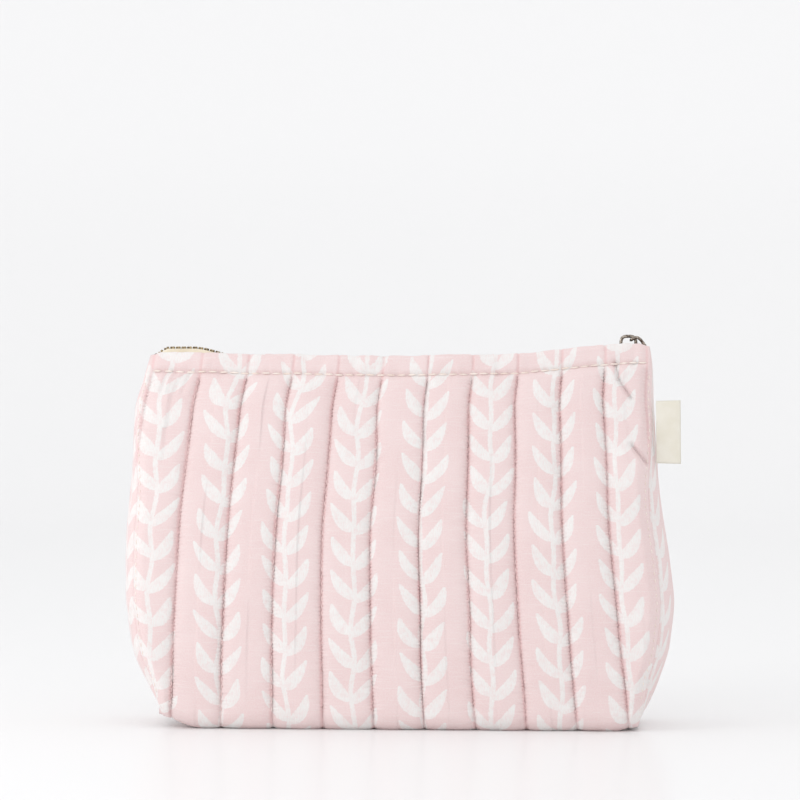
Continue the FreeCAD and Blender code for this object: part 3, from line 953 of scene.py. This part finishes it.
def slider_jaw(name, side):
    """One jaw of the slider: a plate with two skirts, a channel carried along X.

    Its outer section is a rounded box, its inner one a plain channel; both narrow
    towards the tail and round off at the two ends.
    """
    low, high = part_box("slider_body")
    middle, half_height = (low.z + high.z) / 2, (high.z - low.z) / 2
    half_width, slot = (high.y - low.y) / 2, 0.42 * MM
    share = np.linspace(-1, 1, 33)
    width = half_width * (0.86 + 0.14 * smooth(share, -0.9, 0.3))
    ends = np.sqrt(np.clip(1 - np.clip(np.abs(share) - 0.72, 0, 1) ** 2 / 0.28**2 * 0.35, 0, 1))
    x = (low.x + high.x) / 2 + share * (high.x - low.x) / 2
    angle = np.linspace(0, math.pi, 25)
    c, sn = np.cos(angle), np.sin(angle)
    across = np.sign(c) * np.abs(c) ** 0.35
    up = sn ** 0.45
    outer = stacked(x[:, None], (width * ends)[:, None] * across,
                    middle + side * (slot + (half_height - slot) * up * ends[:, None]))
    channel_rise = (half_height - 0.75 * MM - slot) * up ** 0.5 * ends[:, None]
    inner = stacked(x[:, None], (width * ends - 0.8 * MM)[:, None] * across,
                    middle + side * (slot + channel_rise))
    return shell(name, outer, inner, np.zeros((*outer.shape[:2], 2)), flip=side < 0)


def slider_post():
    """The wedge between the jaws, at the end where the two rows come in: an oval drawn upwards."""
    low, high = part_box("slider_body")
    outline = oval(3.0 * MM, 2.0 * MM, 16)
    levels = np.linspace(low.z + 0.6 * MM, high.z - 0.6 * MM, 4)
    centre = np.array([high.x - 2.0 * MM, 0])
    rings = np.stack([np.column_stack([outline + centre, np.full(16, level)]) for level in levels])
    return tube_mesh("slider_post", rings)


def crown_piece():
    """The crown: a flat bar bent into an arch along the slider, its feet spread a little."""
    low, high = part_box("slider_crown")
    angle = np.linspace(0, math.pi, 33)
    half, rise = (high.x - low.x) / 2 - 0.55 * MM, high.z - low.z - 0.35 * MM
    centre = (low.x + high.x) / 2
    c, sn = np.cos(angle), np.sin(angle)
    path = stacked(centre - half * np.sign(c) * np.abs(c) ** 0.6, 0.0, low.z - 0.3 * MM + rise * sn ** 0.62)
    section = oval(1.45 * MM, 2.4 * MM, 16, 3.0)
    return tube_mesh("crown", sweep(path, section, up=(0, 1, 0)))


def ring_piece():
    """The pull ring: a flat wire loop through the crown, bowed up and over so that it
    clears the slider's end and dips to the seam."""
    low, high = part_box("pull_ring")
    length, half = high.x - low.x - 1.2 * MM, (high.y - low.y) / 2 - 0.6 * MM
    angle = np.linspace(0, 2 * math.pi, 73)[:-1]
    c, sn = np.cos(angle), np.sin(angle)
    share = 0.5 - 0.5 * np.sign(c) * np.abs(c) ** 0.55
    y = half * np.sign(sn) * np.abs(sn) ** 0.55
    bow = 1.5 * MM * np.sin(math.pi * np.clip(share * 1.05, 0, 1)) - 2.3 * MM * share ** 2.2
    path = np.stack([low.x + 0.6 * MM + length * share, y, high.z - 0.6 * MM + bow], -1)
    section = oval(1.5 * MM, 1.25 * MM, 12, 2.6)
    return tube_mesh("ring", sweep(path, section, closed=True), closed=True)


def label_piece():
    """The label: a strip folded on itself at its outer end, both cut ends in the seam."""
    low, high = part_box("side_label")
    reach, tall, middle = high.x - low.x, high.z - low.z, (low.y + high.y) / 2
    start = low.x - 1.6 * MM
    share = np.linspace(-1, 1, 61)
    radius = 0.45 * MM
    x = start + reach * (1 - np.abs(share) ** 1.04)
    open_gap = radius * (1 - np.exp(-np.abs(share) * 14))
    y = middle + np.sign(share) * open_gap
    rows = np.linspace(0, 1, 31)[:, None]
    wave = 0.35 * MM * np.sin(rows * 4.2 + 0.6) * ((x - start) / reach)[None]
    z = low.z + tall * rows + 0.5 * MM * ((x - start) / reach)[None] * (rows - 0.5)
    outer = stacked(x - 0.3 * MM * rows, y + wave, z)
    slope = np.gradient(outer, axis=1)
    normal = np.cross(slope, np.array([0, 0, 1.0]))
    normal /= np.linalg.norm(normal, axis=2)[..., None] + 1e-12
    inner = outer - normal * 0.22 * MM
    return shell("label_strip", outer, inner, stacked(share * reach, rows * tall))


def tape_end(title, end_side):
    """The turned-down end of the tapes: a narrow strip from the chain down into the seam."""
    across = np.linspace(-1, 1, 13)[None]
    rows = np.linspace(0, 1, 16)[:, None]
    x = end_side * (abs(LEFT_CORNER) - 1.6 * MM - 1.2 * MM * rows ** 2)
    y = across * (TAPE_EDGE + 3.5 * MM * smooth(rows, 0, 0.35))
    start = chain_level(LEFT_CORNER) + 0.4 * MM if end_side < 0 else LIP_LEVEL - 0.5 * MM
    z = start - 11 * MM * rows
    outer = stacked(x, y, z)
    inner = outer - np.array([end_side * 0.35 * MM, 0, 0])
    return shell(title + "_tape_end", outer, inner, stacked(y, z), flip=end_side < 0)


def binding(title, end_side, side):
    """A binding over one inside seam: a flat bar along the seam, turned across the corner."""
    along = np.linspace(float(at_level(12 * MM)), float(at_level(INSIDE_HIGH)), 50)
    edge = wall_point(np.full(50, PAST_END) * end_side, along, side, 0.0, False)
    depth = np.abs(edge[:, 1])
    inward = np.minimum(4.6 * MM, depth * 0.55)
    path = edge - np.stack([np.full(50, end_side * 4.8 * MM), side * inward, np.zeros(50)], -1)
    section = oval(1.0 * MM, 4.2 * MM, 10, 3.0)
    turned = np.array([end_side * 1.0, -side * 1.0, 0.0])
    return tube_mesh("%s_binding_strip" % title, sweep(path, section, up=turned))


def bottom_stop():
    """The stop at the chain's low end: a small rounded bar across both rows."""
    rings = []
    for place, scale in zip(np.linspace(-1.1, 1.1, 7), (0.55, 0.86, 1, 1, 1, 0.86, 0.55)):
        x = LEFT_CORNER + 0.6 * MM + place * MM
        centre = chain_level(x)
        ring = oval(3.9 * MM * scale, 1.9 * MM * scale, 14, 3.0)
        rings.append(np.column_stack([np.full(14, x), ring[:, 0], centre + ring[:, 1]]))
    return tube_mesh("bottom_stop", np.array(rings))


def top_stop(title):
    """A top stop: a short rounded bar clamped on the tape's edge, just before the slider."""
    low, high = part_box(title + "_top_stop")
    rings = []
    for place, scale in zip(np.linspace(-1, 1, 7), (0.6, 0.9, 1, 1, 1, 0.9, 0.6)):
        ring = oval((high.y - low.y) * scale, (high.z - low.z) * scale, 14, 3.0)
        middle = ring + [(low.y + high.y) / 2, (low.z + high.z) / 2]
        x = (low.x + high.x) / 2 + place * (high.x - low.x) / 2
        rings.append(np.column_stack([np.full(14, x), middle]))
    return tube_mesh(title + "_stop", np.array(rings))


def metal(name, dark, light, rough=0.34, scale=900.0):
    """Aged metal: bright where it is rubbed, brown in the hollows, a little uneven."""
    finish = Finish(name, Metallic=1.0)
    place = finish.place()
    cloud = finish.noise(place, scale, 3.0, 0.6)
    fine = finish.noise(place, scale * 6, 2.0)
    finish.set("Base Color", finish.mix(cloud.step(0.35, 0.65), dark, light))
    finish.set("Roughness", rough + 0.22 * (cloud - 0.5) + 0.1 * (fine - 0.5))
    finish.bump(fine, 0.02 * MM, 0.4)
    return finish.material


# ---------------------------------------------------------------- putting it together

# PRINT has the painted crease shade along the quilting lines; PRINT_PLAIN, for the ends and base, has none
PRINT = printed_cotton()
PRINT_PLAIN = printed_cotton("printed_cotton_ends", False)
LINING = plain_cloth("lining_cotton", colour(238, 226, 214), colour(246, 238, 228))
THREAD = plain_cloth("pale_thread", colour(238, 222, 212), colour(250, 240, 232), 0.3 * MM, "Object", 0.7)
QUILTING_THREAD = plain_cloth("quilting_thread", colour(236, 206, 204), colour(242, 220, 217), 0.3 * MM,
                              "Object", 0.7)
TAPE = plain_cloth("zip_tape", colour(226, 214, 190), colour(238, 229, 208), 0.5 * MM)
LABEL = plain_cloth("label_cloth", colour(226, 221, 206), colour(232, 228, 216), 0.3 * MM, "cloth", 0.6)
BRASS = metal("aged_brass", colour(96, 82, 64), colour(188, 168, 132))
GUNMETAL = metal("gunmetal", colour(84, 72, 64), colour(188, 178, 166), 0.24)

for side, title, body in WALLS:
    for half, _ in HALVES:
        wall = panel(title, side, half)
        inner = lining(title, side, half)
        rows = topstitching(title, side, half)
        quilted = quilt_stitches(title, side, half)
        seam = seam_stitches(title, side, half)
        zip_tape = tape(title, side, half)
        teeth = teeth_row(title, side, half)
        for piece, material, slot_name in (
                (wall, PRINT, "printed_cotton"), (inner, LINING, "lining_cotton"),
                (rows, THREAD, "thread"), (quilted, QUILTING_THREAD, "thread"), (seam, THREAD, "thread"),
                (zip_tape, TAPE, "zip_tape"), (teeth, BRASS, "dark_brass")):
            dress(piece, material)
            blend_half(piece, half)
        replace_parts(wall, title + "_outer", title + "_wadding")
        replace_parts(inner, title + "_lining")
        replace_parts(rows, title + "_topstitch")
        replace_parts(quilted, title + "_quilt_thread")
        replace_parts(seam, title + "_quilt_thread")
        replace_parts(zip_tape, title + "_zip_tape")
        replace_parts(teeth, title + "_zip_teeth")

for end_side, title in HALVES:
    end = dress(gusset(title, end_side), PRINT_PLAIN)
    cover = dress(gusset_lining(title, end_side), LINING)
    for piece in (end, cover):
        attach(piece, "root")
    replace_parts(end, title + "_gusset_outer", title + "_gusset_wadding")
    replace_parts(cover, title + "_gusset_lining")

bottom = dress(base_piece(), PRINT_PLAIN)
bottom_lining = dress(base_lining(), LINING)
for piece in (bottom, bottom_lining):
    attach(piece, "root")
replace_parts(bottom, "base_outer", "base_wadding")
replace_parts(bottom_lining, "base_lining")

for end_side, title in HALVES:
    fold = dress(tape_end(title, end_side), TAPE)
    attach(fold, "root")
    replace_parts(fold, title + "_zip_end")
    for side, wall_title, _ in WALLS:
        edge_title = "%s_%s" % (title, wall_title)
        strip = dress(binding(edge_title, end_side, side), LINING)
        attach(strip, "root")
        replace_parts(strip, edge_title + "_binding")

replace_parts(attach(dress(bottom_stop(), BRASS), "root"), "zip_bottom_stop")
for piece in (slider_jaw("slider_top", 1), slider_jaw("slider_bottom", -1), slider_post()):
    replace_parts(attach(dress(piece, GUNMETAL), "slider"), "slider_body")
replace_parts(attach(dress(crown_piece(), GUNMETAL), "slider"), "slider_crown")
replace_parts(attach(dress(ring_piece(), GUNMETAL), "pull"), "pull_ring")
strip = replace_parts(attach(dress(label_piece(), LABEL), "label"), "side_label")
for _, title, body in WALLS:
    stop = blend_half(dress(top_stop(title), BRASS), 1)
    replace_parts(stop, title + "_top_stop")


# ---------------------------------------------------------------- floor, light and camera

def stage():
    """A pale glossy floor that runs up into the background, and soft studio light."""
    material = bpy.data.materials.new("floor")
    material.use_nodes = True
    nodes, links = material.node_tree.nodes, material.node_tree.links
    nodes.remove(nodes["Principled BSDF"])
    matt = nodes.new("ShaderNodeBsdfDiffuse")
    matt.inputs["Color"].default_value = colour(250, 250, 250)
    gloss = nodes.new("ShaderNodeBsdfGlossy")
    gloss.inputs["Roughness"].default_value = 0.22
    blend = nodes.new("ShaderNodeMixShader")
    blend.inputs[0].default_value = 0.24
    links.new(matt.outputs[0], blend.inputs[1])
    links.new(gloss.outputs[0], blend.inputs[2])
    links.new(blend.outputs[0], nodes["Material Output"].inputs["Surface"])
    half, front, back = 6.0, -4.0, 2.0
    radius, rise = 1.6, 6.0
    turn = np.linspace(0, math.pi / 2, 25)
    bend = stacked(back + radius * np.sin(turn), radius - radius * np.cos(turn))
    line = np.vstack([[(front, 0.0)], bend, [(back + radius, rise)]])
    points = np.column_stack([np.tile([-half, half], len(line)), np.repeat(line, 2, axis=0)])
    floor = make_mesh("floor", points, grid_quads(len(line), 2, flip=True))
    floor.data.materials.append(material)
    world = bpy.data.worlds.new("studio")
    bpy.context.scene.world = world
    world.use_nodes = True
    world.node_tree.nodes["Background"].inputs[0].default_value = colour(251, 251, 252)
    world.node_tree.nodes["Background"].inputs[1].default_value = 1.08
    for name, place, power, span in (("key", (-0.8, -0.55, 0.35), 1.9, 0.4),
                                     ("top", (-0.2, 0.2, 1.6), 0.3, 1.2)):
        lamp = bpy.data.lights.new(name, "AREA")
        lamp.shape, lamp.size, lamp.energy = "SQUARE", span, power
        light = bpy.data.objects.new(name, lamp)
        light.location = place
        aim = np.array([0, 0, 0.08]) - np.array(place)
        light.rotation_mode = "QUATERNION"
        light.rotation_quaternion = Vector(aim).to_track_quat("-Z", "Y")
        bpy.context.scene.collection.objects.link(light)


def camera():
    """A long lens, nearly level, a little to the right of the front."""
    azimuth, elevation, distance = math.radians(4.0), math.radians(2.5), 1.4
    centre = Vector((0, 0, 0.083))
    back = Vector((math.sin(azimuth) * math.cos(elevation), -math.cos(azimuth) * math.cos(elevation),
                   math.sin(elevation)))
    lens = bpy.data.cameras.new("camera")
    lens.sensor_width, lens.lens = 36.0, 143.0
    lens.shift_y = 0.17
    lens.clip_start, lens.clip_end = 0.05, 50
    eye = bpy.data.objects.new("camera", lens)
    eye.location = centre + back * distance
    eye.rotation_mode = "QUATERNION"
    eye.rotation_quaternion = (-back).to_track_quat("-Z", "Y")
    bpy.context.scene.collection.objects.link(eye)
    bpy.context.scene.camera = eye


stage()
camera()
bpy.context.scene.view_settings.view_transform = "Standard"

bpy.context.view_layer.update()
